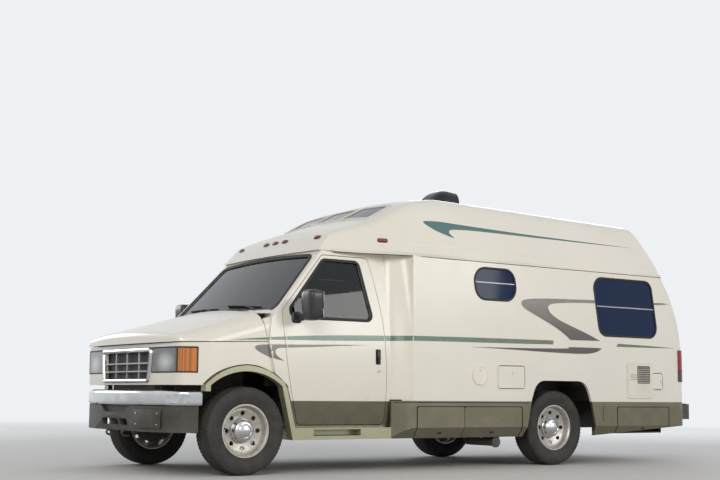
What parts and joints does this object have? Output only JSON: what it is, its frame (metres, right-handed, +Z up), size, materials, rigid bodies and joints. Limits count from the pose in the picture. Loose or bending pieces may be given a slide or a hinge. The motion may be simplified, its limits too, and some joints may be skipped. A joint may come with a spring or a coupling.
{
  "type": "camper van",
  "caption": "Camper van with a short-hooded van cab, a wide moulded coach body with raised roof, steered front wheels, opening doors, hood and storage lids.",
  "frame": {"origin": "on the ground, midway between the ends of the bumpers and on the centre line", "axes": "+X forward, +Y to the left, +Z up"},
  "size_m": [6.2798, 2.58, 2.79],
  "materials": {
    "body_white": "gloss",
    "coach_white": "gloss",
    "olive": "satin metallic",
    "champagne": "satin metallic",
    "clear_glass": "clear",
    "dark_glass": "tinted",
    "chrome": "polished",
    "dark_plastic": "matte",
    "lamp_clear": "clear lens",
    "lamp_amber": "amber lens",
    "lamp_red": "red lens",
    "tyre": "matte",
    "rim_silver": "satin",
    "frame_black": "satin",
    "cast_iron": "rough",
    "exhaust_steel": "dull",
    "interior_grey": "matte",
    "interior_dark": "matte",
    "seat_cloth": "woven",
    "cabinet_wood": "satin",
    "sofa_cloth": "woven"
  },
  "bodies": {
    "vehicle": {"cab_body": "body_white", "windshield": "clear_glass", "grille": "chrome", "front_lamps": "lamp_clear", "front_bumper": "chrome", "front_valance": "dark_plastic", "running_boards": "champagne", "coach_body": "coach_white", "tail_lamps": "lamp_red", "coach_skirts": "olive", "storage_boxes": "dark_plastic", "side_panels": "dark_plastic", "roof_cap": "coach_white", "tinted_glass": "dark_glass", "roof_vent": "coach_white", "marker_lamps": "lamp_amber", "rear_bumper": "dark_plastic", "frame_rails": "frame_black", "crossmembers": "frame_black", "front_axle": "frame_black", "springs": "frame_black", "rear_axle": "cast_iron", "engine": "cast_iron", "radiator": "frame_black", "exhaust": "exhaust_steel", "tanks": "dark_plastic", "dashboard": "interior_grey", "cab_seats": "seat_cloth", "cabinets": "cabinet_wood", "rear_sofa": "sofa_cloth"},
    "wheel_front_left": {"rim_front_left": "rim_silver", "tyre_front_left": "tyre"},
    "wheel_front_right": {"rim_front_right": "rim_silver", "tyre_front_right": "tyre"},
    "wheel_rear_left": {"rim_rear_left": "rim_silver", "tyre_rear_left": "tyre"},
    "wheel_rear_right": {"rim_rear_right": "rim_silver", "tyre_rear_right": "tyre"},
    "steer_knuckle_left": {"knuckle_left": "cast_iron"},
    "steer_knuckle_right": {"knuckle_right": "cast_iron"},
    "hand_wheel": {"steering_wheel": "interior_dark"},
    "bonnet": {"hood": "body_white"},
    "door_left": {"cab_door_left": "body_white", "cab_glass_left": "clear_glass", "mirror_left": "dark_plastic"},
    "door_right": {"cab_door_right": "body_white", "cab_glass_right": "clear_glass", "mirror_right": "dark_plastic"},
    "door_entry": {"entry_door": "coach_white", "entry_glass": "dark_glass"},
    "lid_left_front": {"locker_left_front": "olive"},
    "lid_left_middle": {"locker_left_middle": "olive"},
    "lid_left_rear": {"locker_left_rear": "olive"},
    "lid_right_rear": {"locker_right_rear": "olive"},
    "lid_water": {"water_lid": "coach_white"},
    "lid_cord": {"cord_lid": "coach_white"}
  },
  "joints": [
    {"name": "steer_left", "type": "hinge", "parent": "vehicle", "child": "steer_knuckle_left", "pos_m": [2.38, 0.7615, 0.365], "axis": [0, 0, 1], "range_deg": [-33, 33]},
    {"name": "steer_right", "type": "hinge", "parent": "vehicle", "child": "steer_knuckle_right", "pos_m": [2.38, -0.7615, 0.365], "axis": [0, 0, 1], "range_deg": [-33, 33]},
    {"name": "hand_wheel_turn", "type": "hinge", "parent": "vehicle", "child": "hand_wheel", "pos_m": [1.565, 0.43, 1.285], "axis": [-0.766, 0, 0.6428], "range_deg": [-561, 561]},
    {"name": "front_left_spin", "type": "hinge", "parent": "steer_knuckle_left", "child": "wheel_front_left", "pos_m": [2.38, 0.8815, 0.365], "axis": [0, 1, 0], "continuous": true},
    {"name": "front_right_spin", "type": "hinge", "parent": "steer_knuckle_right", "child": "wheel_front_right", "pos_m": [2.38, -0.8815, 0.365], "axis": [0, 1, 0], "continuous": true},
    {"name": "rear_left_spin", "type": "hinge", "parent": "vehicle", "child": "wheel_rear_left", "pos_m": [-1.125, 0.8535, 0.365], "axis": [0, 1, 0], "continuous": true},
    {"name": "rear_right_spin", "type": "hinge", "parent": "vehicle", "child": "wheel_rear_right", "pos_m": [-1.125, -0.8535, 0.365], "axis": [0, 1, 0], "continuous": true},
    {"name": "hood_hinge", "type": "hinge", "parent": "vehicle", "child": "bonnet", "pos_m": [2.183, 0, 1.385], "axis": [0, -1, 0], "range_deg": [0, 55]},
    {"name": "cab_door_left_hinge", "type": "hinge", "parent": "vehicle", "child": "door_left", "pos_m": [2.052, 1.014, 1], "axis": [0, 0, -1], "range_deg": [0, 65]},
    {"name": "cab_door_right_hinge", "type": "hinge", "parent": "vehicle", "child": "door_right", "pos_m": [2.052, -1.014, 1], "axis": [0, 0, 1], "range_deg": [0, 65]},
    {"name": "entry_door_hinge", "type": "hinge", "parent": "vehicle", "child": "door_entry", "pos_m": [0.651, -1.07, 1.16], "axis": [0, 0, 1], "range_deg": [0, 100]},
    {"name": "locker_left_front_hinge", "type": "hinge", "parent": "vehicle", "child": "lid_left_front", "pos_m": [0.392, 1.074, 0.569], "axis": [1, 0, 0], "range_deg": [0, 95]},
    {"name": "locker_left_middle_hinge", "type": "hinge", "parent": "vehicle", "child": "lid_left_middle", "pos_m": [-0.238, 1.074, 0.569], "axis": [1, 0, 0], "range_deg": [0, 95]},
    {"name": "locker_left_rear_hinge", "type": "hinge", "parent": "vehicle", "child": "lid_left_rear", "pos_m": [-2.276, 1.074, 0.569], "axis": [1, 0, 0], "range_deg": [0, 95]},
    {"name": "locker_right_rear_hinge", "type": "hinge", "parent": "vehicle", "child": "lid_right_rear", "pos_m": [-2.276, -1.074, 0.569], "axis": [-1, 0, 0], "range_deg": [0, 95]},
    {"name": "water_lid_hinge", "type": "hinge", "parent": "vehicle", "child": "lid_water", "pos_m": [-0.463, 1.069, 0.741], "axis": [-1, 0, 0], "range_deg": [0, 90]},
    {"name": "cord_lid_hinge", "type": "hinge", "parent": "vehicle", "child": "lid_cord", "pos_m": [-2.428, 1.069, 0.835], "axis": [0, 0, -1], "range_deg": [0, 110]}
  ],
  "couplings": [
    {"joint": "steer_right", "follows": "steer_left", "ratio": 1},
    {"joint": "hand_wheel_turn", "follows": "steer_left", "ratio": 17}
  ]
}
